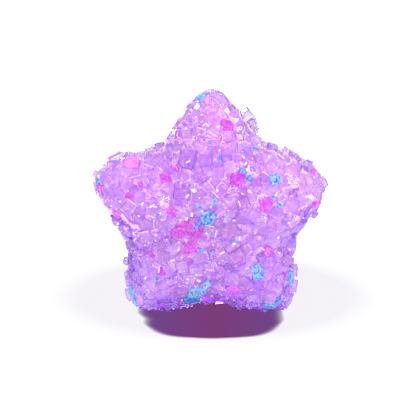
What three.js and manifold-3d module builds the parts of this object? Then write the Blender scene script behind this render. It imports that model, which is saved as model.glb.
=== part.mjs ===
// A star-shaped gummy sweet with a thick crust of coarse sugar crystals, all one solid.
// Millimetres, +Z up. The star stands on its two lower points and its face looks along -Y.
// The origin is on the ground, under the middle of the sweet.
import * as THREE from "three";
import { mergeVertices } from "three/addons/utils/BufferGeometryUtils.js";
import Module from "manifold-3d";

const wasm = await Module();
wasm.setup();

// The jelly star seen from the front. Its corners run clockwise from the upright point, a tip and
// a notch by turns: turn is the direction from upright in degrees, and reach is the distance from
// the star's middle. The two lower tips are its feet.
const CORNERS = [
  { turn: 0, reach: 15.2 },
  { turn: 37, reach: 10.7 },
  { turn: 75, reach: 14.8 },
  { turn: 109, reach: 11.0 },
  { turn: 144, reach: 16.2 },
  { turn: 179, reach: 11.8 },
  { turn: 216, reach: 16.1 },
  { turn: 252, reach: 10.9 },
  { turn: 287, reach: 15.0 },
  { turn: 325, reach: 10.2 },
];
const FULL_TURN = 360;
const TIP_ROUND = 0.15; // how blunt the tips are, as a share of the way from tip to notch
const TIP_SLOPE = 1.6; // how fast the outline falls from tip to notch
const MIDDLE_HEIGHT = 13.3; // the star's middle above the ground
const HALF_THICKNESS = 5.7; // from the middle plane to the top of either face
const FACE_FLATNESS = 2.7; // 2 is a ball's profile; more is a flatter face with a rounder rim
const JELLY_DETAIL = 6; // each side of the starting icosahedron is cut into one more than this

// The sugar crust: crystals with the largest first, spread evenly over the whole star.
const CRYSTAL_COUNT = 290;
const LARGEST_CRYSTAL = 2.3;
const SMALLEST_CRYSTAL = 1.4;
const FEW_LARGE = 3; // the higher, the fewer crystals are near the largest
const RIM_SHARE = 0.65; // size on the rim, where the surface curves most, as a share of that on a face
const CRYSTAL_CHOICES = 40; // places tried for each crystal, of which the roomiest is kept
const CRYSTAL_SEED = 20260;
const CRYSTAL_LENGTH = [0.85, 1.15]; // along, across and out of the surface, as shares of its size
const CRYSTAL_WIDTH = [0.7, 1.0];
const CRYSTAL_HEIGHT = [0.55, 0.8];
const CRYSTAL_LIFT = 0.05; // how far its middle stands out of the jelly, as a share of its size
const CRYSTAL_TILT = 20; // the most that it leans, in degrees
const CRYSTAL_SKEW = 0.25; // the most that its top slides sideways, as a share of its height

const UP = new THREE.Vector3(0, 0, 1);
const GROUND_BLOCK = 60; // side of the block of space above the ground that the sweet is kept in

// Numbers from 0 to 1 that come out the same on every run.
function seededDraw(seed) {
  const multiplier = 1664525;
  const increment = 1013904223;
  const modulus = 2 ** 32;
  let state = seed;
  return () => {
    state = (state * multiplier + increment) % modulus;
    return state / modulus;
  };
}

// Reach of the jelly's outline in a direction, in degrees clockwise from upright.
function outlineReach(turn) {
  const after = CORNERS.findIndex((corner) => corner.turn > turn);
  const next = after < 0 ? { ...CORNERS[0], turn: FULL_TURN } : CORNERS[after];
  const last = after < 0 ? CORNERS[CORNERS.length - 1] : CORNERS[after - 1];
  const share = (turn - last.turn) / (next.turn - last.turn);
  const lastIsTip = last.reach > next.reach;
  const [tip, notch] = lastIsTip ? [last, next] : [next, last];
  const fromTip = lastIsTip ? share : 1 - share;
  const blunt = (Math.hypot(fromTip, TIP_ROUND) - TIP_ROUND) / (Math.hypot(1, TIP_ROUND) - TIP_ROUND);
  return notch.reach + (tip.reach - notch.reach) * (1 - blunt) ** TIP_SLOPE;
}

// The point of the jelly's surface that a direction from its middle stands for.
function onJelly(direction) {
  const inPlane = Math.hypot(direction.x, direction.z);
  const angle = Math.atan2(direction.x, direction.z);
  const turn = (THREE.MathUtils.radToDeg(angle) + FULL_TURN) % FULL_TURN;
  const reach = outlineReach(turn) * inPlane ** (2 / FACE_FLATNESS);
  return new THREE.Vector3(
    reach * Math.sin(angle),
    HALF_THICKNESS * direction.y,
    reach * Math.cos(angle) + MIDDLE_HEIGHT,
  );
}

// Which way the jelly's surface faces there, from two short steps along it.
function jellyNormal(direction) {
  const step = 0.01;
  const side = new THREE.Vector3(-direction.z, 0, direction.x).normalize();
  const across = new THREE.Vector3().crossVectors(direction, side);
  const stepAlong = (way, length) =>
    onJelly(direction.clone().addScaledVector(way, length).normalize());
  const alongSide = stepAlong(side, step).sub(stepAlong(side, -step));
  const alongAcross = stepAlong(across, step).sub(stepAlong(across, -step));
  return alongSide.cross(alongAcross).normalize();
}

function jellyGeometry() {
  const geometry = new THREE.IcosahedronGeometry(1, JELLY_DETAIL);
  const points = geometry.attributes.position;
  const direction = new THREE.Vector3();
  for (let i = 0; i < points.count; i++) {
    const place = onJelly(direction.fromBufferAttribute(points, i).normalize());
    points.setXYZ(i, place.x, place.y, place.z);
  }
  return geometry;
}

function randomDirection(draw) {
  const height = 2 * draw() - 1;
  const angle = 2 * Math.PI * draw();
  const round = Math.sqrt(1 - height * height);
  return new THREE.Vector3(round * Math.cos(angle), height, round * Math.sin(angle));
}

// Where the crystals sit: each takes the roomiest of a few places drawn at random.
function crystalSites(draw) {
  const between = ([low, high]) => THREE.MathUtils.lerp(low, high, draw());
  const sites = [];
  const roomBeside = (place) => (other) => other.place.distanceTo(place) - other.size / 2;
  for (let n = 0; n < CRYSTAL_COUNT; n++) {
    const choices = Array.from({ length: CRYSTAL_CHOICES }, () => {
      const direction = randomDirection(draw);
      const place = onJelly(direction);
      return { direction, place, room: Math.min(...sites.map(roomBeside(place))) };
    });
    const roomiest = choices.reduce((best, choice) => (choice.room > best.room ? choice : best));
    const facing = jellyNormal(roomiest.direction);
    const rank = (1 - n / CRYSTAL_COUNT) ** FEW_LARGE;
    const onFace = THREE.MathUtils.lerp(SMALLEST_CRYSTAL, LARGEST_CRYSTAL, rank);
    sites.push({
      place: roomiest.place,
      size: onFace * THREE.MathUtils.lerp(RIM_SHARE, 1, Math.abs(facing.y)),
      facing,
      shares: [between(CRYSTAL_LENGTH), between(CRYSTAL_WIDTH), between(CRYSTAL_HEIGHT)],
      spin: 2 * Math.PI * draw(),
      lean: THREE.MathUtils.degToRad(between([-CRYSTAL_TILT, CRYSTAL_TILT])),
      skew: between([-CRYSTAL_SKEW, CRYSTAL_SKEW]),
    });
  }
  return sites;
}

// One blocky crystal, leaning a little and sunk about half way into the jelly.
function crystalGeometry({ place, size, facing, shares, spin, lean, skew }) {
  const geometry = new THREE.BoxGeometry(...shares.map((share) => share * size));
  geometry.applyMatrix4(new THREE.Matrix4().makeShear(0, 0, 0, 0, skew, 0));
  const turned = new THREE.Quaternion().setFromUnitVectors(UP, facing);
  turned.multiply(new THREE.Quaternion().setFromEuler(new THREE.Euler(lean, 0, spin, "ZXY")));
  geometry.applyQuaternion(turned);
  const middle = place.clone().addScaledVector(facing, CRYSTAL_LIFT * size);
  return geometry.translate(middle.x, middle.y, middle.z);
}

// A closed geometry as a solid that can be joined and cut.
function solidFrom(geometry) {
  geometry.deleteAttribute("normal");
  geometry.deleteAttribute("uv");
  const merged = mergeVertices(geometry);
  return new wasm.Manifold(
    new wasm.Mesh({
      numProp: 3,
      vertProperties: merged.attributes.position.array,
      triVerts: new Uint32Array(merged.index.array),
    }),
  );
}

function geometryFrom(solid) {
  const mesh = solid.getMesh();
  const geometry = new THREE.BufferGeometry();
  geometry.setAttribute("position", new THREE.BufferAttribute(mesh.vertProperties, 3));
  geometry.setIndex(new THREE.BufferAttribute(mesh.triVerts, 1));
  geometry.computeVertexNormals();
  return geometry;
}

// The sweet: jelly and crystals fused, with its feet pressed flat on the ground.
function sugaredStar() {
  const crystals = crystalSites(seededDraw(CRYSTAL_SEED)).map(crystalGeometry).map(solidFrom);
  const fused = crystals.reduce((joined, crystal) => joined.add(crystal), solidFrom(jellyGeometry()));
  const aboveGround = new THREE.BoxGeometry(GROUND_BLOCK, GROUND_BLOCK, GROUND_BLOCK);
  aboveGround.translate(0, 0, GROUND_BLOCK / 2);
  const trimmed = fused.intersect(solidFrom(aboveGround));
  // Keeping the one main body fills the pockets sealed between crystals and drops loose crumbs.
  const bodies = trimmed.decompose().sort((a, b) => b.volume() - a.volume());
  return geometryFrom(bodies[0]);
}

const sugaredJelly = new THREE.MeshStandardMaterial({ color: "#cf9bf2", roughness: 0.35, metalness: 0 });
const gummyStar = new THREE.Mesh(sugaredStar(), sugaredJelly);
gummyStar.name = "gummy_star";

const sweet = new THREE.Group();
sweet.add(gummyStar);

export default sweet;
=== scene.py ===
import math
import bpy
import numpy as np
from mathutils import Matrix, Vector


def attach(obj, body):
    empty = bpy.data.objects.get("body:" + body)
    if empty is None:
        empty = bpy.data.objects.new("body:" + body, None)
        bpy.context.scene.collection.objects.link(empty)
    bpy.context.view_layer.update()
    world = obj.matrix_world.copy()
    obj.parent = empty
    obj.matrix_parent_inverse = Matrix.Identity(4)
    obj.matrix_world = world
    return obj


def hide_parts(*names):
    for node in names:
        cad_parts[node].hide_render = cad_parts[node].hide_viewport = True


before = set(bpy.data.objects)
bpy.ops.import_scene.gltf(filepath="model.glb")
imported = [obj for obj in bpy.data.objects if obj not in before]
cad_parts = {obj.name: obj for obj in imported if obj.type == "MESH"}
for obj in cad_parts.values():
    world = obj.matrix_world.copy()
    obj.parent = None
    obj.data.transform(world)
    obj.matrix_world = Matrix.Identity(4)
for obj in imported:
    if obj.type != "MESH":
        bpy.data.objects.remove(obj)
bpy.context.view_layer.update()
mm = 0.001  # sizes below are in millimetres, and Blender's are in metres


# Shape of the jelly, as in the CAD: a direction from its middle stands for a point of its surface.

star = {
    "turns": [0, 37, 75, 109, 144, 179, 216, 252, 287, 325],  # degrees from upright, tip and notch by turns
    "reaches": [15.2, 10.7, 14.8, 11.0, 16.2, 11.8, 16.1, 10.9, 15.0, 10.2],  # from the star's middle
    "tipRound": 0.15,  # how blunt the tips are
    "tipSlope": 1.6,  # how fast the outline falls from tip to notch
    "middleHeight": 13.3,
    "halfThickness": 5.7,
    "faceFlatness": 2.7,  # 2 is a ball's profile, more is flatter
}


def outlineReach(turn):
    turns = np.array(star["turns"] + [360.0])
    reaches = np.array(star["reaches"] + star["reaches"][:1])
    last = np.clip(np.searchsorted(turns, turn, side="right") - 1, 0, len(turns) - 2)
    share = (turn - turns[last]) / (turns[last + 1] - turns[last])
    before, after = reaches[last], reaches[last + 1]
    fromTip = np.where(before > after, share, 1 - share)
    tip, notch = np.maximum(before, after), np.minimum(before, after)
    blunt = star["tipRound"]
    fall = (np.hypot(fromTip, blunt) - blunt) / (math.hypot(1, blunt) - blunt)
    return notch + (tip - notch) * (1 - fall) ** star["tipSlope"]


def onJelly(directions):
    x, y, z = directions.T
    angle = np.arctan2(x, z)
    reach = outlineReach(np.degrees(angle) % 360) * np.hypot(x, z) ** (2 / star["faceFlatness"])
    return np.stack([
        reach * np.sin(angle),
        star["halfThickness"] * y,
        reach * np.cos(angle) + star["middleHeight"],
    ], axis=1)


def directionTo(places):  # the other way round: which direction stands for a point of the surface
    x, y, z = places[:, 0], places[:, 1], places[:, 2] - star["middleHeight"]
    angle = np.arctan2(x, z)
    share = np.hypot(x, z) / outlineReach(np.degrees(angle) % 360)
    leastShare = 1e-4  # at the very middle a direction has no turn
    inPlane = np.clip(share, leastShare, 1) ** (star["faceFlatness"] / 2)
    depth = np.sign(y) * np.sqrt(np.maximum(1 - inPlane ** 2, 0))
    return np.stack([inPlane * np.sin(angle), depth, inPlane * np.cos(angle)], axis=1)


def unit(vectors):
    return vectors / np.linalg.norm(vectors, axis=1, keepdims=True)


def jellyNormals(directions):  # from two short steps along the surface
    step = 0.01
    side = unit(np.stack([-directions[:, 2], np.zeros(len(directions)), directions[:, 0]], axis=1))
    across = np.cross(directions, side)
    alongSide = onJelly(unit(directions + side * step)) - onJelly(unit(directions - side * step))
    alongAcross = onJelly(unit(directions + across * step)) - onJelly(unit(directions - across * step))
    return unit(np.cross(alongSide, alongAcross))


# Colours and materials.

def linear(colour):  # sRGB hex to linear RGBA
    parts = [int(colour[i:i + 2], 16) / 255 for i in (1, 3, 5)]
    return [p / 12.92 if p <= 0.04045 else ((p + 0.055) / 1.055) ** 2.4 for p in parts] + [1.0]


def addNode(tree, kind, inputs, **settings):  # inputs hold values, or sockets to link from
    node = tree.nodes.new(kind)
    for name, value in settings.items():
        setattr(node, name, value)
    for name, value in inputs.items():
        if isinstance(value, bpy.types.NodeSocket):
            tree.links.new(value, node.inputs[name])
        else:
            node.inputs[name].default_value = value
    return node


def newMaterial(name):
    material = bpy.data.materials.new(name)
    material.use_nodes = True
    material.node_tree.nodes.clear()
    return material, material.node_tree


def blendTo(tree, colour, by, span, share, target):  # towards a colour, as a value crosses a span
    amount = addNode(tree, "ShaderNodeMapRange", {
        "Value": by, "From Min": span[0], "From Max": span[1], "To Max": share})
    return addNode(tree, "ShaderNodeMix", {
        0: amount.outputs["Result"], 6: colour, 7: linear(target)}, data_type="RGBA").outputs[2]


def letLampsThrough(tree, surface, tint):  # sugar and jelly are clear to lamps, so shadows are coloured
    path = addNode(tree, "ShaderNodeLightPath", {})
    clear = addNode(tree, "ShaderNodeBsdfTransparent", {"Color": tint})
    both = addNode(tree, "ShaderNodeMixShader", {
        0: path.outputs["Is Shadow Ray"], 1: surface.outputs[0], 2: clear.outputs[0]})
    addNode(tree, "ShaderNodeOutputMaterial", {"Surface": both.outputs[0]})


sucrose = {
    "ior": 1.54,
    "frostDetail": 3.0,
    "frostContrast": 0.6,
    "cloudy": (0.45, 0.7),  # from where to where the frost's noise turns to dust
    "speckled": (0.45, 0.38),  # and to specks
    "paintedShadeSlant": (0.3, 1.0),  # how far a facet is turned from the eye, where painted shade deepens its colour
    "paintedShadeDownward": (-0.5, -0.9),  # how far a facet looks down, where painted shade darkens it
    "edgeClear": 0.6,  # how clear worn edges are, as a share of the facets
}


def sugarMaterial(name, look):
    # Sucrose crystals: hard, glassy and faintly frosted by dust, so they glint and pass light on.
    material, tree = newMaterial(name)
    tone = addNode(tree, "ShaderNodeAttribute", {}, attribute_name="tone")
    edge = addNode(tree, "ShaderNodeAttribute", {}, attribute_name="edge").outputs["Fac"]
    place = addNode(tree, "ShaderNodeTexCoord", {})
    frost = addNode(tree, "ShaderNodeTexNoise", {
        "Vector": place.outputs["Object"],
        "Scale": 1 / (look["grit"] * mm),
        "Detail": sucrose["frostDetail"],
        "Roughness": sucrose["frostContrast"],
    }).outputs["Fac"]
    slantForPaintedShade = addNode(tree, "ShaderNodeLayerWeight", {}).outputs["Facing"]
    normal = addNode(tree, "ShaderNodeNewGeometry", {})
    facing = addNode(tree, "ShaderNodeSeparateXYZ", {0: normal.outputs["Normal"]})
    colour = addNode(tree, "ShaderNodeMix", {
        0: tone.outputs["Fac"], 6: linear(look["pale"]), 7: linear(look["deep"])},
        data_type="RGBA").outputs[2]
    colour = blendTo(tree, colour, frost, sucrose["cloudy"], look["cloud"], look["dust"])
    colour = blendTo(tree, colour, frost, sucrose["speckled"], look["specks"], look["speck"])
    colour = blendTo(tree, colour, edge, (0, 1), look["edge"], look["dust"])
    # edges below 0 go towards the shade colour: worn edges shaded at random, and the painted rim shade
    colour = blendTo(tree, colour, edge, (0, -1), look["edge"], look["shade"])
    # painted shade: facets turned from the eye are mixed towards the shade colour
    colour = blendTo(tree, colour, slantForPaintedShade, sucrose["paintedShadeSlant"], look["side"], look["shade"])
    # painted shade: facets that look down are mixed towards the shade colour
    colour = blendTo(tree, colour, facing.outputs["Z"], sucrose["paintedShadeDownward"], look["side"], look["shade"])
    anyEdge = addNode(tree, "ShaderNodeMath", {0: edge}, operation="ABSOLUTE")
    clear = addNode(tree, "ShaderNodeMapRange", {
        "Value": anyEdge.outputs[0],
        "To Min": look["clear"],
        "To Max": look["clear"] * sucrose["edgeClear"],
    })
    bump = addNode(tree, "ShaderNodeBump", {
        "Strength": look["rough"], "Distance": look["relief"] * mm, "Height": frost})
    surface = addNode(tree, "ShaderNodeBsdfPrincipled", {
        "Base Color": colour,
        "Roughness": look["roughness"],
        "IOR": sucrose["ior"],
        "Transmission Weight": clear.outputs["Result"],
        "Normal": bump.outputs["Normal"],
    })
    letLampsThrough(tree, surface, linear(look["lampTint"]))
    return material


# Crystal shapes, modelled once and copied: a cube with corners sliced off and its edges worn.

def modelCrystal(slices, wear, rounds=1):
    bpy.ops.object.select_all(action="DESELECT")
    bpy.ops.mesh.primitive_cube_add(size=1)
    shape = bpy.context.object
    bpy.ops.object.mode_set(mode="EDIT")
    for place, facing in slices:
        bpy.ops.mesh.select_all(action="SELECT")
        bpy.ops.mesh.bisect(plane_co=place, plane_no=facing, use_fill=True, clear_outer=True)
    if wear:
        bpy.ops.mesh.select_all(action="SELECT")
        bpy.ops.mesh.bevel(offset=wear, segments=rounds, affect="EDGES")
    bpy.ops.object.mode_set(mode="OBJECT")
    points = np.array([v.co for v in shape.data.vertices])
    faces = [list(p.vertices) for p in shape.data.polygons]
    edges = [float(p.area < crystalShapes["edgeArea"]) for p in shape.data.polygons]
    bpy.data.objects.remove(shape)
    return points, faces, edges


crystalShapes = {  # of each: slices, by a point and the way that they face, then wear and its steps
    "edgeArea": 0.1,  # faces smaller than this, on a cube of side 1, are its worn edges
    "worn": [
        ([], 0.05),
        ([], 0.09),
        ([((0.4, 0.4, 0.4), (1, 0.8, 0.6))], 0.06),
        ([((0.4, -0.42, 0.38), (0.7, -1, 0.9))], 0.09),
        ([((-0.4, -0.42, 0.33), (-0.8, -1, 0.3))], 0.06),
    ],
    "lumps": [
        ([((0.37, 0.35, 0.3), (1, 0.8, 0.3)), ((-0.3, -0.45, 0.4), (-0.3, -1, 0.7))], 0.08, 2),
        ([((0.36, -0.38, 0.3), (1, -0.7, 0.3)), ((-0.45, 0.3, 0.4), (-1, 0.3, 0.7))], 0.08, 2),
        ([((0.37, 0.35, 0.3), (0.8, 1, 0.2)), ((-0.42, -0.38, 0.2), (-1, -0.7, 0.4))], 0.08, 2),
        ([((-0.36, 0.38, 0.2), (-1, 1, 0.2)), ((0.4, -0.35, 0.1), (1, -0.8, 0.1))], 0.08, 2),
    ],
    "chips": [
        ([((0.25, 0.25, 0.25), (1, 0.7, 0.9)), ((-0.25, 0.2, -0.2), (-1, 0.6, -0.5))], 0),
        ([((0.3, -0.35, 0.3), (0.9, -1, 0.6))], 0),
        ([((0.3, 0.3, -0.1), (1, 1, -0.2)), ((-0.4, 0.0, 0.35), (-0.9, 0.2, 0.8))], 0),
    ],
}
wornShapes, lumpShapes, chipShapes = (
    [modelCrystal(*how) for how in crystalShapes[kind]] for kind in ("worn", "lumps", "chips"))
print("crystal shapes:", len(wornShapes), "worn,", len(lumpShapes), "lumps,", len(chipShapes), "chips")


# Where the crystals lie. A crystal is its middle, its size and a matrix of its three edges.

crust = {
    "count": 290,  # the large crystals of the CAD, by the same seeded rule
    "largest": 2.3,
    "smallest": 1.4,
    "fewLarge": 3,  # the higher, the fewer are near the largest
    "rimShare": 0.65,  # size on the rim, as a share of that on a face
    "choices": 40,  # places tried for each, of which the roomiest is kept
    "seed": 20260,
    "length": (0.85, 1.15),  # along, across and out of the surface, as shares of its size
    "width": (0.7, 1.0),
    "height": (0.55, 0.8),
    "lift": 0.05,  # of its middle out of the jelly, as a share of its size
    "tilt": 20,  # the most that it leans, in degrees
    "skew": 0.25,  # the most that its top slides sideways, as a share of its height
}


def seededDraw(seed):  # the CAD's numbers from 0 to 1
    multiplier, increment, modulus = 1664525, 1013904223, 2 ** 32
    state = seed
    while True:
        state = (state * multiplier + increment) % modulus
        yield state / modulus


def edgeMatrix(facing, lengths, spin, lean, skew):
    turn = Vector((0, 0, 1)).rotation_difference(Vector(facing)).to_matrix()
    turn = turn @ Matrix.Rotation(spin, 3, "Z") @ Matrix.Rotation(lean, 3, "X")
    slide = np.eye(3)
    slide[0, 2] = skew
    return np.array(turn) @ slide @ np.diag(lengths)


def largeCrystals():
    draws = seededDraw(crust["seed"])
    draw = lambda: next(draws)
    between = lambda span: span[0] + (span[1] - span[0]) * draw()
    places, sizes, crystals = np.empty((0, 3)), np.empty(0), []
    for n in range(crust["count"]):
        pairs = np.array([draw() for _ in range(2 * crust["choices"])]).reshape(-1, 2)
        height, angle = 2 * pairs[:, 0] - 1, 2 * math.pi * pairs[:, 1]
        flat = np.sqrt(1 - height ** 2)
        directions = np.stack([flat * np.cos(angle), height, flat * np.sin(angle)], axis=1)
        choices = onJelly(directions)
        gaps = np.linalg.norm(choices[:, None] - places[None], axis=2) - sizes / 2
        best = int(np.argmax(gaps.min(axis=1))) if n else 0
        facing = jellyNormals(directions[best:best + 1])[0]
        rank = (1 - n / crust["count"]) ** crust["fewLarge"]
        size = crust["smallest"] + (crust["largest"] - crust["smallest"]) * rank
        size *= crust["rimShare"] + (1 - crust["rimShare"]) * abs(facing[1])
        lengths = [between(crust[edge]) * size for edge in ("length", "width", "height")]
        spin = 2 * math.pi * draw()
        lean = math.radians(between((-crust["tilt"], crust["tilt"])))
        skew = between((-crust["skew"], crust["skew"]))
        middle = choices[best] + facing * crust["lift"] * size
        edges = edgeMatrix(facing, lengths, spin, lean, skew)
        crystals.append({"middle": middle, "size": size, "edges": edges})
        places, sizes = np.vstack([places, choices[best]]), np.append(sizes, size)
    return crystals


large = largeCrystals()
print("large crystals:", len(large))


# The jelly.

jelly = {
    "detail": 6,
    "core": "#945688",
    "arms": "#c494ec",
    "coreToArms": (4, 14),  # from the star's middle
    "patch": "#b682aa",  # duller patches
    "patchSize": 2.5,
    "patchDetail": 2.0,
    "patchFrom": (0.45, 0.65),  # of the noise that lays them
    "patchShare": 0.8,
    "causticDark": "#9a58cc",  # painted caustic light: darker and brighter ripples across the jelly
    "causticDarkFrom": (0.5, 0.36),
    "causticBright": "#dec0f4",
    "causticBrightFrom": (0.52, 0.68),
    "causticSize": 0.7,
    "causticDetail": 3.0,
    "causticContrast": 0.65,
    "causticSwirl": 0.8,
    "causticShare": 0.7,
    "under": "#7440b4",  # painted shade on its underside
    "underShadeFrom": (-0.35, -0.9),
    "underShadeShare": 0.9,
    "roughness": 0.3,
    "ior": 1.45,
    "glow": 0.5,  # share of light that scatters inside it
    "glowReach": (6.0, 3.0, 8.0),  # and how far, in red, green and blue
}
throughJelly = {  # light that falls through it on the paper
    "core": "#81407e",
    "coreSides": "#76488c",
    "sidesFrom": (0.1, 0.8),  # across the core, as shares of its reach
    "arms": "#ffffff",
    "coreMiddle": (0.45, 0, 7),  # the core has upright sides and above its middle a round top
    "coreReach": (8.85, 9.4),  # across and up
    "fade": (0.8, 1.04),  # from core to arms, as shares of its reach
    "fadePower": 4,
    "footWay": (-0.6, 0, -1),  # the core is wider at the left foot
    "footFrom": (1.8, 4),
    "footMore": 0.11,
}


def makeJelly():
    bpy.ops.object.select_all(action="DESELECT")
    bpy.ops.mesh.primitive_ico_sphere_add(subdivisions=jelly["detail"], radius=1)
    piece = bpy.context.object
    piece.name = piece.data.name = "jelly_star"
    points = onJelly(unit(np.array([v.co for v in piece.data.vertices])))
    points[:, 2] = np.maximum(points[:, 2], 0)  # its feet are pressed flat on the ground
    piece.data.vertices.foreach_set("co", (points * mm).ravel())
    bpy.ops.object.shade_smooth()
    return piece


def lampTintOfJelly(tree, place, backfacing):
    middle, reach = throughJelly["coreMiddle"], throughJelly["coreReach"]
    upper = addNode(tree, "ShaderNodeVectorMath", {  # only its height is held, as -1 m is far off
        0: place, 1: (-1, -1, middle[2] * mm)}, operation="MAXIMUM")
    fromCore = addNode(tree, "ShaderNodeMapping", {
        "Vector": upper.outputs[0],
        "Location": [v * mm for v in middle],
        "Scale": (reach[0] * mm, 1, reach[1] * mm),
    }, vector_type="TEXTURE").outputs[0]
    outOfCore = addNode(tree, "ShaderNodeVectorMath", {0: fromCore}, operation="LENGTH")
    atFoot = addNode(tree, "ShaderNodeVectorMath", {
        0: place, 1: throughJelly["footWay"]}, operation="DOT_PRODUCT")
    wider = addNode(tree, "ShaderNodeMapRange", {
        "Value": atFoot.outputs["Value"],
        "From Min": throughJelly["footFrom"][0] * mm,
        "From Max": throughJelly["footFrom"][1] * mm,
        "To Max": throughJelly["footMore"],
    })
    outside = addNode(tree, "ShaderNodeMath", {
        0: outOfCore.outputs["Value"], 1: wider.outputs["Result"]}, operation="SUBTRACT")
    thinner = addNode(tree, "ShaderNodeMapRange", {
        "Value": outside.outputs[0],
        "From Min": throughJelly["fade"][0],
        "From Max": throughJelly["fade"][1],
    })
    faded = addNode(tree, "ShaderNodeMath", {
        0: thinner.outputs["Result"], 1: throughJelly["fadePower"]}, operation="POWER")
    share = addNode(tree, "ShaderNodeMath", {0: faded.outputs[0], 1: backfacing}, operation="MAXIMUM")
    inCore = addNode(tree, "ShaderNodeSeparateXYZ", {0: fromCore})
    across = addNode(tree, "ShaderNodeMath", {0: inCore.outputs["X"]}, operation="ABSOLUTE").outputs[0]
    core = linear(throughJelly["core"])
    core = blendTo(tree, core, across, throughJelly["sidesFrom"], 1.0, throughJelly["coreSides"])
    return addNode(tree, "ShaderNodeMix", {
        0: share.outputs[0], 6: core, 7: linear(throughJelly["arms"])}, data_type="RGBA").outputs[2]


def jellyMaterial():
    # Gelatine jelly: clear, dyed and soft, deeper in colour where it is thick.
    material, tree = newMaterial("dyed_gelatine_jelly")
    place = addNode(tree, "ShaderNodeTexCoord", {}).outputs["Object"]
    side = addNode(tree, "ShaderNodeNewGeometry", {})
    facing = addNode(tree, "ShaderNodeSeparateXYZ", {0: side.outputs["Normal"]}).outputs["Z"]
    fromMiddle = addNode(tree, "ShaderNodeVectorMath", {
        0: place, 1: (0, 0, star["middleHeight"] * mm)}, operation="DISTANCE").outputs["Value"]
    patches = addNode(tree, "ShaderNodeTexNoise", {
        "Vector": place,
        "Scale": 1 / (jelly["patchSize"] * mm),
        "Detail": jelly["patchDetail"],
    }).outputs["Fac"]
    paintedCaustics = addNode(tree, "ShaderNodeTexNoise", {
        "Vector": place,
        "Scale": 1 / (jelly["causticSize"] * mm),
        "Detail": jelly["causticDetail"],
        "Roughness": jelly["causticContrast"],
        "Distortion": jelly["causticSwirl"],
    }).outputs["Fac"]
    coreToArms = [reach * mm for reach in jelly["coreToArms"]]
    colour = blendTo(tree, linear(jelly["core"]), fromMiddle, coreToArms, 1.0, jelly["arms"])
    colour = blendTo(tree, colour, patches, jelly["patchFrom"], jelly["patchShare"], jelly["patch"])
    # painted caustic light: darker and brighter ripples
    colour = blendTo(tree, colour, paintedCaustics, jelly["causticDarkFrom"], jelly["causticShare"], jelly["causticDark"])
    colour = blendTo(tree, colour, paintedCaustics, jelly["causticBrightFrom"], jelly["causticShare"], jelly["causticBright"])
    colour = blendTo(tree, colour, facing, jelly["underShadeFrom"], jelly["underShadeShare"], jelly["under"])
    surface = addNode(tree, "ShaderNodeBsdfPrincipled", {
        "Base Color": colour,
        "Roughness": jelly["roughness"],
        "IOR": jelly["ior"],
        "Subsurface Weight": jelly["glow"],
        "Subsurface Radius": jelly["glowReach"],
        "Subsurface Scale": mm,
    })
    letLampsThrough(tree, surface, lampTintOfJelly(tree, place, side.outputs["Backfacing"]))
    return material


jellyStar = makeJelly()
jellyStar.data.materials.append(jellyMaterial())
print("jelly:", len(jellyStar.data.polygons), "faces")


# The smaller crystals, thrown at the jelly and kept where they have room.

# Sizes run from the first tried to the last, spacing is a share of the room that two of them take, tilt
# is in degrees, and top is how far they stand out.
medium = {"sizes": (1.8, 0.85), "tries": 24000, "spacing": 0.88, "tilt": 16, "top": 0.5}
fine = {"sizes": (0.75, 0.4), "tries": 30000, "spacing": 0.9, "tilt": 30, "top": 0.3}
small = {
    "least": (0.8, 0.7, 0.55),  # length, width and height, as shares of a crystal's size
    "most": (1.2, 1.0, 0.85),
    "leastProud": 0.15,  # how far they stand out, as shares of the top above
    "rimProud": 3,
    "faceLess": 0.8,
    "seed": 20261,
}
rng = np.random.default_rng(small["seed"])


def surfacePoints(count):  # even by area
    mesh = jellyStar.data
    mesh.calc_loop_triangles()
    corners = np.array([t.vertices for t in mesh.loop_triangles])
    points = np.array([v.co for v in mesh.vertices]) / mm
    a, b, c = (points[corners[:, i]] for i in range(3))
    reach = np.cumsum(np.linalg.norm(np.cross(b - a, c - a), axis=1))
    chosen = np.searchsorted(reach, rng.random(count) * reach[-1])
    u, v = rng.random((2, count, 1))
    u, v = np.where(u + v > 1, 1 - u, u), np.where(u + v > 1, 1 - v, v)
    return a[chosen] + (b - a)[chosen] * u + (c - a)[chosen] * v


def scatter(rule, taken):  # taken: crystals already there
    places = surfacePoints(rule["tries"])
    facings = jellyNormals(directionTo(places))
    sizes = np.geomspace(*rule["sizes"], rule["tries"])
    middles = np.zeros((len(taken) + rule["tries"], 3))
    widths = np.zeros(len(middles))
    for n, crystal in enumerate(taken):
        middles[n], widths[n] = crystal["middle"], crystal["size"]
    kept, filled = [], len(taken)
    for place, facing, size in zip(places, facings, sizes):
        gaps = np.linalg.norm(middles[:filled] - place, axis=1)
        if np.any(gaps < rule["spacing"] * (widths[:filled] + size) / 2):
            continue
        lengths = size * rng.uniform(small["least"], small["most"])
        lean = math.radians(rule["tilt"]) * rng.normal()
        spin = rng.uniform(0, 2 * math.pi)
        edges = edgeMatrix(facing, lengths, spin, lean, rng.uniform(-crust["skew"], crust["skew"]))
        onFace = abs(facing[1])
        top = rule["top"] * (crust["rimShare"] + (1 - crust["rimShare"]) * onFace)
        most = small["rimProud"] - small["faceLess"] * onFace
        proud = small["leastProud"] + most * rng.random() ** (2 - onFace)  # more uneven on the rim
        lift = top * proud - lengths[2] / 2  # of its middle above the jelly
        kept.append({"middle": place + facing * lift, "size": size, "edges": edges})
        middles[filled], widths[filled] = kept[-1]["middle"], size
        filled += 1
    return kept


dust = {  # fine sugar on top of the crystals, bright white, partly painted glints
    "count": 400,
    "sizes": (0.1, 0.26),
    "spread": 0.45,  # from the middle of a crystal's top, as a share of its width
    "rimLimit": 0.25,  # the least that a dusty crystal rises to the front or back, as a share of its size
}


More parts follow.
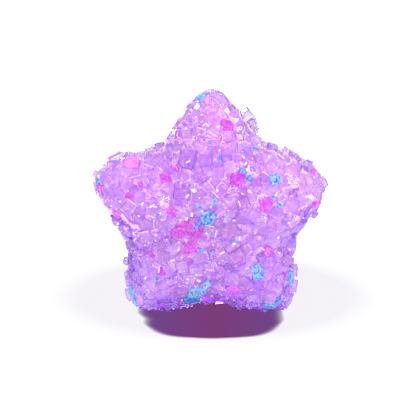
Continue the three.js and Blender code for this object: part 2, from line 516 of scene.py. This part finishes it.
def scatterDust(crystals):
    grains = []
    dusty = [c for c in crystals if abs(c["edges"][1, 2]) > dust["rimLimit"] * c["size"]]
    for n in rng.integers(len(dusty), size=dust["count"]):
        middle, edges = dusty[n]["middle"], dusty[n]["edges"]
        across = rng.uniform(-dust["spread"], dust["spread"], 2)
        spin = unit(rng.normal(size=(3, 3)))
        size = rng.uniform(*dust["sizes"])
        onTop = middle + edges @ [*across, 0.5]  # half a crystal's height above its middle
        grains.append({"middle": onTop, "size": size, "edges": spin * size})
    return grains


# Crystals that stand out on the face, laid one by one: across, up, length, width and turn, and where
# they matter the tone and how far it stands above the jelly.

placed = {
    "violet": [
        (-2.7, 21.6, 2.3, 2.6, -12, 0.5), (-3.5, 17.5, 2.1, 1.8, -8, 0.7),
        (8.2, 21.8, 1.3, 1.0, 20, 0.3, 1.0), (1.9, 22.3, 1.4, 1.8, 0, 0.5),
        (4.4, 22.0, 1.3, 1.3, 30, 0.1), (5.9, 20.9, 1.3, 1.3, 20, 0.1),
        (0.4, 26.3, 1.3, 1.4, -10, 0.0), (-0.6, 21.7, 1.8, 1.7, 0, 0.6),
        # from (-12.0, 12.9) on: deep violet crystals along both armpits and the lower sides, painted shade
        # there
        (1.1, 13.7, 1.0, 1.3, 10, 0.3), (-12.0, 12.9, 1.3, 0.9, -54, 1.0),
        (-11.1, 12.0, 1.7, 0.9, -54, 1.0), (-10.4, 10.9, 1.4, 0.8, -60, 0.9),
        (-9.9, 9.6, 1.4, 1.1, 90, 0.6), (-10.0, 7.1, 1.6, 1.0, 80, 0.9),
        (-9.8, 5.3, 1.3, 1.1, 90, 1.0), (12.0, 13.8, 1.4, 0.9, 61, 0.8),
        (11.5, 12.3, 1.7, 1.0, 61, 1.0), (10.7, 11.1, 1.5, 0.9, 61, 1.0),
        (10.1, 8.3, 1.5, 1.1, 90, 1.0), (10.1, 6.7, 1.3, 1.0, 80, 0.9), (9.6, 3.2, 1.5, 0.9, 90, 0.9),
    ],
    "mauve": [
        (2.4, 12.7, 2.3, 2.2, 35), (4.2, 9.9, 1.9, 1.5, 35), (3.2, 9.1, 2.6, 1.6, 30),
        (1.9, 24.2, 1.6, 1.3, 10, 0.0), (0.2, 23.6, 1.7, 1.0, 0), (3.1, 21.6, 1.4, 1.0, 0),
        (4.0, 16.2, 1.7, 1.3, 20), (-6.1, 10.4, 1.6, 1.0, 20), (-1.3, 19.5, 1.8, 1.3, 10),
    ],
    "proud": [(-12.2, 20.0, 2.0, 1.8, 20, 0.3, 1.1), (10.6, 20.3, 1.2, 1.0, 30, 0.4)],
    "pink": [
        (1.9, 25.4, 1.6, 1.4, -5, 1.0), (-9.9, 20.0, 2.2, 1.9, -10, 0.3), (-4.3, 20.2, 0.8, 1.1, 20),
        (-5.6, 19.0, 1.3, 1.2, 10, 1.0), (-8.7, 18.2, 0.6, 0.5, 0), (-10.0, 16.8, 1.1, 0.7, 0),
        (-13.8, 16.9, 0.8, 1.0, 0), (-11.7, 14.1, 1.4, 0.8, -40), (3.3, 19.1, 1.8, 1.9, -15, 1.0),
        (-4.9, 15.1, 1.4, 1.1, -45), (-3.9, 12.4, 1.7, 1.5, 30), (-2.8, 13.4, 1.6, 1.3, 0),
        (-1.6, 12.4, 1.5, 1.4, 40, 1.0), (-2.6, 10.4, 2.3, 1.4, 15), (6.9, 15.9, 1.6, 1.8, 0, 0.9),
        (7.2, 9.4, 1.3, 1.3, -10), (-6.2, 6.8, 1.0, 1.0, 30), (2.8, 4.4, 1.8, 1.5, 35, 0.2),
        (-4.1, 1.8, 0.8, 0.8, 0), (13.2, 15.2, 0.8, 1.3, 0), (12.9, 18.6, 0.7, 0.7, 0),
        (9.2, 5.6, 0.7, 0.7, 0), (-7.3, 9.0, 0.6, 0.7, 0), (5.1, 23.6, 0.6, 0.7, 0),
        (-2.3, 11.6, 0.5, 0.4, 20), (-0.7, 11.6, 0.5, 0.5, 0), (-4.9, 11.5, 0.5, 0.4, 40),
    ],
    "blue": [
        (-1.0, 28.6, 1.6, 1.2, 0, 0.7), (-0.4, 14.3, 1.9, 2.0, -25, 0.9), (-1.9, 13.2, 0.7, 0.7, 0, 1.0),
        (8.0, 18.7, 1.5, 1.3, 20, 0.7), (3.9, 19.9, 0.9, 0.8, -30, 0.9),
        (4.7, 19.1, 1.2, 0.9, 0, 0.8, 0.1),
        (5.9, 6.8, 1.5, 2.2, 10, 0.7), (-1.8, 3.8, 2.2, 1.9, -10, 0.0), (-0.6, 5.1, 1.1, 1.1, 30, 0.0),
        (-2.5, 2.4, 2.1, 1.5, 5, 0.8), (-10.0, 2.9, 1.4, 1.7, 0, 0.0), (-9.6, 1.2, 0.9, 0.9, 0, 0.2),
        (10.2, 4.6, 0.9, 1.9, 0, 0.6), (7.5, 1.5, 1.6, 1.0, -10, 0.1), (8.6, 2.0, 1.3, 0.7, 20, 0.8),
        (-14.0, 17.7, 0.7, 0.7, 0), (0.4, 16.9, 0.5, 0.4, 0), (0.6, 16.3, 0.5, 0.4, 30),
        (-1.6, 15.8, 0.5, 0.5, 0), (-6.2, 14.8, 0.5, 0.5, 0), (1.2, 21.8, 0.4, 0.7, 0),
        (-0.1, 23.7, 0.4, 0.4, 0), (3.1, 26.4, 0.4, 0.6, 0), (5.2, 23.4, 0.5, 0.5, 0),
        (5.3, 22.1, 0.5, 0.4, 0), (2.4, 14.1, 0.4, 0.4, 0), (3.0, 11.2, 0.5, 0.5, 0),
        (7.7, 16.8, 0.5, 0.5, 0), (8.6, 15.8, 0.6, 0.6, 0), (-1.1, 10.1, 0.7, 0.5, 30),
        (0.2, 9.7, 0.5, 0.5, 0), (-6.6, 5.9, 0.5, 0.4, 0),
    ],
    "clear": [
        (4.3, 26.2, 1.8, 1.7, 20, 0.5, 1.6), (5.0, 25.4, 1.5, 1.5, 50, 0.5, 1.4),
        (5.5, 24.8, 0.9, 0.9, 10, 0.5, 1.0), (9.7, 9.6, 1.2, 1.2, 0),
        (-12.4, 16.8, 1.6, 1.5, 30, 0.5, 0.8),
    ],
    # white slivers that stand in for glints: painted highlights
    "glintSlivers": [
        (-3.0, 26.9, 0.91, 0.5, 20), (1.7, 26.8, 0.65, 0.39, -30), (3.0, 24.7, 0.52, 0.32, 0),
        (-1.3, 27.2, 0.65, 0.39, 40), (3.7, 26.2, 0.52, 0.39, -50), (-3.9, 24.0, 0.65, 0.39, 60),
    ],
}
layRules = {
    "tops": {  # how far they stand above the jelly
        "violet": 0.65, "mauve": 0.65, "proud": 0.9,
        "pink": 0.6, "blue": 0.6, "clear": 1.3, "glintSlivers": 0.9,
    },
    "tones": (0.6, 1),
    "height": 0.7,  # as a share of its size
    "clearance": 0.45,  # to the large crystals, as a share of both sizes
    "strays": {"pink": 24, "blue": 16, "clear": 40},  # of the smaller crystals on the sides and the back
    "straysFrom": 2.5,  # behind the star's middle plane
}
thrown = {
    "count": 20,
    "length": (0.35, 0.75),
    "width": (0.1, 0.22),
    "reach": 0.9,  # how far out they may lie, as a share of the outline
    "seed": 20262,
}


def throwGlintSlivers():  # more of them anywhere on the face, in the form of the lists above
    draws = np.random.default_rng(thrown["seed"])
    turns = draws.uniform(0, 360, thrown["count"])
    reaches = outlineReach(turns) * thrown["reach"] * np.sqrt(draws.random(thrown["count"]))
    across = reaches * np.sin(np.radians(turns))
    up = reaches * np.cos(np.radians(turns)) + star["middleHeight"]
    lengths, widths = (draws.uniform(*thrown[side], thrown["count"]) for side in ("length", "width"))
    return list(zip(across, up, lengths, widths, draws.uniform(-90, 90, thrown["count"])))


placed["glintSlivers"] = throwGlintSlivers() + placed["glintSlivers"]


def layCrystals(kind):
    crystals = []
    for across, up, length, width, turn, *more in placed[kind]:
        tone = more[0] if more else rng.uniform(*layRules["tones"])
        top = more[1] if len(more) > 1 else layRules["tops"][kind]
        direction = unit(directionTo(np.array([[across, -1.0, up]])))  # on the front
        facing = jellyNormals(direction)[0]
        size = math.sqrt(length * width)
        height = layRules["height"] * size
        right = Vector((1, 0, 0)) - Vector(facing) * facing[0]  # along the surface, towards +X
        basis = np.array([right.normalized(), Vector(facing).cross(right.normalized()), facing]).T
        turned = basis @ np.array(Matrix.Rotation(math.radians(turn), 3, "Z"))
        edges = turned @ np.diag([length, width, height])
        middle = onJelly(direction)[0] + facing * (top - height / 2)
        crystals.append({"middle": middle, "size": size, "edges": edges, "tone": tone})
    return crystals


laid = {kind: layCrystals(kind) for kind in placed}
onFace = [crystal for kind, crystals in laid.items() if kind != "glintSlivers" for crystal in crystals]
laidMiddles = np.array([c["middle"] for c in onFace])
laidSizes = np.array([c["size"] for c in onFace])
large = [c for c in large if np.all(
    np.linalg.norm(laidMiddles - c["middle"], axis=1) > layRules["clearance"] * (laidSizes + c["size"]))]
mediumCrystals = scatter(medium, large + onFace)
fineGrains = scatter(fine, large + onFace + mediumCrystals)
dustGrains = scatterDust(large + mediumCrystals)
print("medium crystals:", len(mediumCrystals), "fine grains:", len(fineGrains), "dust:", len(dustGrains))

hidden = [c for c in mediumCrystals if c["middle"][1] > layRules["straysFrom"]]  # some of these are dyed
shown = [c for c in mediumCrystals if c["middle"][1] <= layRules["straysFrom"]]
for kind, count in layRules["strays"].items():
    for n in sorted(rng.choice(len(hidden), count, replace=False), reverse=True):
        laid[kind].append({**hidden[n], "tone": rng.random()})
        hidden.pop(n)
mediumCrystals = shown + hidden


# The sugar pieces, one for each kind.

shaded = {  # painted shade: crystals of the rim that look away from the light above are darker
    "light": (-0.25, 0.0, 1.0),
    "from": 0.2,  # how far they look away from it
    "span": 0.4,
    "share": 0.9,
}
paleTones = 2.5  # the higher, the more crystals are pale


def shadeOf(crystal):
    outward = unit(crystal["edges"].T)[2]
    away = -outward @ np.array(shaded["light"])
    return shaded["share"] * np.clip((away - shaded["from"]) / shaded["span"], 0, 1) * abs(outward[0])


def joinCrystals(name, crystals, shapes, material, edgeTones):
    points, faces, tones, edges, first = [], [], [], [], 0
    for crystal in crystals:
        shape, shapeFaces, shapeEdges = shapes[rng.integers(len(shapes))]
        corners = crystal["middle"] + shape @ crystal["edges"].T
        corners[:, 2] = np.maximum(corners[:, 2], 0)  # pressed flat on the ground
        points.append(corners * mm)
        faces.extend([first + corner for corner in face] for face in shapeFaces)
        tones.append(np.full(len(shape), crystal.get("tone", rng.random() ** paleTones)))
        wornTones = rng.choice(edgeTones, len(shapeFaces)) * shapeEdges  # -1 is shaded, 1 is frosted
        # the edge value also carries painted shade on rim crystals that look away from the light
        edges.extend(wornTones - shadeOf(crystal))
        first += len(shape)
    mesh = bpy.data.meshes.new(name)
    mesh.from_pydata(np.concatenate(points).tolist(), [], faces)
    mesh.attributes.new("tone", "FLOAT", "POINT").data.foreach_set("value", np.concatenate(tones))
    mesh.attributes.new("edge", "FLOAT", "FACE").data.foreach_set("value", edges)
    mesh.materials.append(material)
    piece = bpy.data.objects.new(name, mesh)
    bpy.context.scene.collection.objects.link(piece)
    print(name + ":", len(crystals), "crystals,", sum(len(f) - 2 for f in faces), "triangles")
    return piece


lavender = {
    "pale": "#ecdefb",  # from pale to deep by a crystal's tone
    "deep": "#c698e2",
    "dust": "#f6eaff",
    "shade": "#8440d0",
    "speck": "#9a68dc",
    "lampTint": "#f5e6fb",  # of light that falls through it
    "clear": 0.9,
    "roughness": 0.04,
    "grit": 0.4,  # size of the frost's pattern
    "rough": 0.5,  # and how much it roughens the facets
    "relief": 0.06,
    "cloud": 0.35,  # shares of dust, specks, worn edges with painted rim shade, and painted shade on slanting and downward facets
    "specks": 0.25,
    "edge": 0.8,
    "side": 0.6,
}
white = {
    **lavender,
    "dust": "#ffffff", "speck": "#ffffff", "lampTint": "#ffffff",
    "roughness": 0.03, "grit": 0.45, "rough": 0.3, "specks": 0.0,
}
sugarLooks = {
    "lavender": lavender,
    "violet": {
        **lavender,
        "pale": "#d4b4ee", "deep": "#b890e0", "dust": "#f0e0ff", "shade": "#5a20b0", "speck": "#8a58d4",
        "clear": 0.85, "rough": 0.6, "cloud": 0.3, "specks": 0.35, "edge": 0.7, "side": 0.7,
    },
    "mauve": {
        **lavender,
        "pale": "#e0bee6", "deep": "#d0a8d8", "dust": "#f0dcfa", "shade": "#7a3cc0", "speck": "#b080c0",
        "clear": 0.85, "rough": 0.6, "cloud": 0.3, "specks": 0.3, "side": 0.7,
    },
    "fine": {**lavender, "deep": "#c294e2", "clear": 0.8},
    "dust": {
        **white,
        "pale": "#ffffff", "deep": "#f6ecff", "shade": "#ffffff",
        "clear": 0.4, "cloud": 0.0, "edge": 0.0, "side": 0.0,
    },
    "pink": {
        **lavender,
        "pale": "#f0a0f4", "deep": "#c43ac8", "dust": "#f8b8fa", "shade": "#cc24c0", "speck": "#a434b0",
        "lampTint": "#fbe0fb", "clear": 0.55, "roughness": 0.06, "grit": 0.3, "rough": 0.9, "relief": 0.16,
        "cloud": 0.4, "specks": 0.5, "edge": 0.6,
    },
    "blue": {
        **lavender,
        "pale": "#98ecfc", "deep": "#3c88de", "dust": "#c4f4ff", "shade": "#1c8cd8", "speck": "#184c9c",
        "lampTint": "#e0f4fb", "clear": 0.48, "roughness": 0.06, "grit": 0.28, "rough": 1.0, "relief": 0.16,
        "cloud": 0.6, "specks": 0.9, "edge": 0.6,
    },
    "clear": {
        **white,
        "pale": "#f6eeff", "deep": "#e4d4fc", "shade": "#a878f0",
        "clear": 1.0, "cloud": 0.1, "edge": 0.9, "side": 0.7,
    },
}
sugarPieces = [  # name, crystals, shapes, look, tones of the worn edges, slot
    ("lavender_sugar", large + mediumCrystals + laid["proud"], wornShapes, "lavender",
     (-0.9, -0.4, 0, 0.5, 1.0), "lavender_sugar"),
    ("violet_sugar", laid["violet"], wornShapes, "violet", (-1.0, -1.0, -0.6, 0.4), "lavender_sugar"),
    ("mauve_sugar", laid["mauve"], wornShapes, "mauve", (-1.0, -0.6, 0.8, 0.8), "lavender_sugar"),
    ("fine_sugar", fineGrains, chipShapes, "fine", (0,), "lavender_sugar"),
    ("sugar_dust", dustGrains + laid["glintSlivers"], chipShapes, "dust", (-1,), "lavender_sugar"),
    ("pink_sugar", laid["pink"], lumpShapes, "pink", (-0.8, -0.3, 0.3, 0.8), "pink_sugar"),
    ("blue_sugar", laid["blue"], lumpShapes, "blue", (-0.8, -0.3, 0.3, 0.8), "blue_sugar"),
    ("clear_sugar", laid["clear"], wornShapes, "clear", (-1,), "lavender_sugar"),
]
sweet = {jellyStar: "sugared_jelly"}  # each piece and its slot
for name, crystals, shapes, kind, edgeTones, slotName in sugarPieces:
    material = sugarMaterial(kind + "_sugar_crystal", sugarLooks[kind])
    sweet[joinCrystals(name, crystals, shapes, material, edgeTones)] = slotName
for piece, slotName in sweet.items():
    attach(piece, "root")
    piece.visible_diffuse = False  # throws no colour on the paper
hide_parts("gummy_star")


# Camera, floor and light.

view = {
    "elevation": 19,
    "fieldOfView": 20,
    "frame": 54,  # what the picture spans at the target
    "target": (-0.32, 0, 13.6),
}
paper = {  # a painted soft shadow: slightly grey about the sweet
    "side": 4000,
    "colour": "#f4f4f4",
    "shade": "#e8e6eb",
    "shadeMiddle": (0.5, 3.4),
    "shadeReach": (20.8, 14.7),
    "shadeFade": (0.88, 1.1),  # as shares of its reach
}
studio = {
    "floorLamp": {"height": 73, "side": 0, "softness": 2, "strength": 3.7},  # angles in degrees
    "softboxes": {  # place, diameter, power, colour
        "top": ((-50, -20, 210), 70, 0.4, "#fffffa"),
        "front": ((-30, -195, 40), 120, 0.16, "#fffffa"),
        "frontRight": ((120, -110, 120), 80, 0.28, "#fffffa"),
        "back": ((60, 200, 90), 160, 0.2, "#ffffff"),
        "backFill": ((-40, 200, 20), 160, 0.3, "#fffffa"),
        "below": ((0, -165, -60), 140, 0.27, "#dcdeec"),  # light that the paper throws back up
        "under": ((0, 0, -170), 120, 0.025, "#b070ff"),
    },
    "crispness": 0.05,
    "bounces": 24,  # light crosses many crystals
    "clearBounces": 32,
}
surround = {  # what the crystals mirror, and what shows through them
    "dimColour": "#a060ec",  # where there is no lamp: other crystals
    "brightWay": (0, 0.55, 0.83),  # towards its brightest part, above and behind
    "brightFrom": (-0.2, 0.9),
    "sparkle": 45,  # strength of many small lamps
    "sparkleScale": 9,
    "sparkleDetail": 2.0,
    "sparkleFrom": 0.67,  # of the noise that lays them
    "sparkleEdge": 0.04,
    "throughShare": 0.06,  # fainter through a crystal than off its facets
    "cameraWay": (0, -0.95, 0.33),
    "cameraFrom": (0.9, 0.4),  # fainter behind the camera, where the flat faces look
    "cameraShare": 0.25,
    "behindFrom": (-0.1, -0.6),  # and behind the sweet, where the rim's facets look
    "behindShare": 0.1,
}


def aim(thing, place, target):
    thing.location = place
    thing.rotation_euler = (Vector(target) - Vector(place)).to_track_quat("-Z", "Y").to_euler()


def makeCamera():
    data = bpy.data.cameras.new("camera")
    data.angle = math.radians(view["fieldOfView"])
    data.clip_start = mm
    camera = bpy.data.objects.new("camera", data)
    bpy.context.scene.collection.objects.link(camera)
    distance = view["frame"] * mm / 2 / math.tan(data.angle / 2)
    up = math.radians(view["elevation"])
    target = Vector(view["target"]) * mm
    aim(camera, target + Vector((0, -math.cos(up), math.sin(up))) * distance, target)
    bpy.context.scene.camera = camera


def makeFloor():
    bpy.ops.object.select_all(action="DESELECT")
    bpy.ops.mesh.primitive_plane_add(size=paper["side"] * mm)
    floor = bpy.context.object
    floor.name = "floor"
    material, tree = newMaterial("white_paper")  # matt white paper, which takes the shadow
    place = addNode(tree, "ShaderNodeTexCoord", {})
    fromShade = addNode(tree, "ShaderNodeMapping", {
        "Vector": place.outputs["Object"],
        "Location": [v * mm for v in paper["shadeMiddle"]] + [0],
        "Scale": [v * mm for v in paper["shadeReach"]] + [1],
    }, vector_type="TEXTURE")
    away = addNode(tree, "ShaderNodeVectorMath", {0: fromShade.outputs[0]}, operation="LENGTH")
    distance = away.outputs["Value"]
    colour = blendTo(tree, linear(paper["shade"]), distance, paper["shadeFade"], 1.0, paper["colour"])
    surface = addNode(tree, "ShaderNodeBsdfDiffuse", {"Color": colour})
    addNode(tree, "ShaderNodeOutputMaterial", {"Surface": surface.outputs[0]})
    floor.data.materials.append(material)
    return floor


def addLamp(name, place, side, power, colour):
    data = bpy.data.lights.new(name, "AREA")
    data.shape, data.size, data.energy, data.color = "DISK", side * mm, power, linear(colour)[:3]
    lamp = bpy.data.objects.new(name, data)
    bpy.context.scene.collection.objects.link(lamp)
    aim(lamp, Vector(place) * mm, (0, 0, star["middleHeight"] * mm))
    return lamp


def addSun(name, height, side, softness, strength):
    data = bpy.data.lights.new(name, "SUN")
    data.energy, data.angle = strength, math.radians(softness)
    sun = bpy.data.objects.new(name, data)
    bpy.context.scene.collection.objects.link(sun)
    up, across = math.radians(height), math.radians(side)
    aim(sun, (math.sin(across) * math.cos(up), math.cos(across) * math.cos(up), math.sin(up)), (0, 0, 0))
    return sun


def lightOnly(lamp, pieces, casters):  # lights these pieces alone, and these alone cast its shadows
    for name, members in (("receiver", pieces), ("blocker", casters)):
        group = bpy.data.collections.new(f"{lamp.name}_{name}")
        for piece in members:
            group.objects.link(piece)
        setattr(lamp.light_linking, name + "_collection", group)


def makeWorld():  # bright above and behind, dim towards the camera, so that facets differ
    world = bpy.data.worlds.new("studio")
    world.use_nodes = True
    tree = world.node_tree
    tree.nodes.clear()
    path = addNode(tree, "ShaderNodeLightPath", {})
    way = addNode(tree, "ShaderNodeTexCoord", {}).outputs["Generated"]
    height = addNode(tree, "ShaderNodeVectorMath", {
        0: way, 1: surround["brightWay"]}, operation="DOT_PRODUCT")
    bright = addNode(tree, "ShaderNodeMapRange", {
        "Value": height.outputs["Value"],
        "From Min": surround["brightFrom"][0],
        "From Max": surround["brightFrom"][1],
    })
    whiter = addNode(tree, "ShaderNodeMath", {  # the camera sees it white
        0: bright.outputs["Result"], 1: path.outputs["Is Camera Ray"]}, operation="MAXIMUM")
    colour = addNode(tree, "ShaderNodeMix", {
        0: whiter.outputs[0], 6: linear(surround["dimColour"]), 7: (1, 1, 1, 1)}, data_type="RGBA")
    patches = addNode(tree, "ShaderNodeTexNoise", {
        "Vector": way, "Scale": surround["sparkleScale"], "Detail": surround["sparkleDetail"]})
    lit = addNode(tree, "ShaderNodeMapRange", {
        "Value": patches.outputs["Fac"],
        "From Min": surround["sparkleFrom"],
        "From Max": surround["sparkleFrom"] + surround["sparkleEdge"],
        "To Max": surround["sparkle"],
    })
    ahead = addNode(tree, "ShaderNodeVectorMath", {
        0: way, 1: surround["cameraWay"]}, operation="DOT_PRODUCT").outputs["Value"]
    atCamera = addNode(tree, "ShaderNodeMapRange", {
        "Value": ahead,
        "From Min": surround["cameraFrom"][0],
        "From Max": surround["cameraFrom"][1],
        "To Min": surround["cameraShare"],
    })
    behind = addNode(tree, "ShaderNodeMapRange", {
        "Value": ahead,
        "From Min": surround["behindFrom"][0],
        "From Max": surround["behindFrom"][1],
        "To Min": 1.0,
        "To Max": surround["behindShare"],
    })
    onFacets = addNode(tree, "ShaderNodeMapRange", {
        "Value": path.outputs["Is Transmission Ray"], "To Min": 1.0, "To Max": surround["throughShare"]})
    notSeen = addNode(tree, "ShaderNodeMath", {
        0: 1.0, 1: path.outputs["Is Camera Ray"]}, operation="SUBTRACT")
    glints = lit.outputs["Result"]
    for share in (atCamera, behind, onFacets, notSeen):
        glints = addNode(tree, "ShaderNodeMath", {
            0: glints, 1: share.outputs[0]}, operation="MULTIPLY").outputs[0]
    both = addNode(tree, "ShaderNodeMath", {0: glints, 1: 1.0}, operation="ADD")
    direct = addNode(tree, "ShaderNodeMath", {  # it sends nothing by way of a matt surface
        0: path.outputs["Diffuse Depth"], 1: 0.5}, operation="LESS_THAN")
    strength = addNode(tree, "ShaderNodeMath", {
        0: both.outputs[0], 1: direct.outputs[0]}, operation="MULTIPLY")
    sky = addNode(tree, "ShaderNodeBackground", {
        "Color": colour.outputs[2], "Strength": strength.outputs[0]})
    addNode(tree, "ShaderNodeOutputWorld", {"Surface": sky.outputs[0]})
    bpy.context.scene.world = world
    world.cycles_visibility.diffuse = False  # the lamps alone light matt surfaces


def crispen(share):  # sharpens the picture a little, as cameras do
    scene = bpy.context.scene
    scene.use_nodes = True
    tree = scene.node_tree
    tree.nodes.clear()
    taken = addNode(tree, "CompositorNodeRLayers", {})
    sharper = addNode(tree, "CompositorNodeFilter", {
        "Fac": share, "Image": taken.outputs["Image"]}, filter_type="SHARPEN_DIAMOND")
    addNode(tree, "CompositorNodeComposite", {"Image": sharper.outputs["Image"]})


makeCamera()
floor = makeFloor()
lightOnly(addSun("floorLamp", **studio["floorLamp"]), [floor], [jellyStar])
for name, softbox in studio["softboxes"].items():
    lamp = addLamp(name + "Softbox", *softbox)
    lamp.visible_glossy = False  # the surround gives the glints
    lamp.visible_transmission = name != "backFill"  # this one doesn't show through the sweet
    lightOnly(lamp, sweet, sweet)
makeWorld()
crispen(studio["crispness"])
bpy.context.scene.view_settings.view_transform = "Standard"
cycles = bpy.context.scene.cycles
cycles.max_bounces = cycles.transmission_bounces = studio["bounces"]
cycles.transparent_max_bounces = studio["clearBounces"]
print("camera, floor and light set")
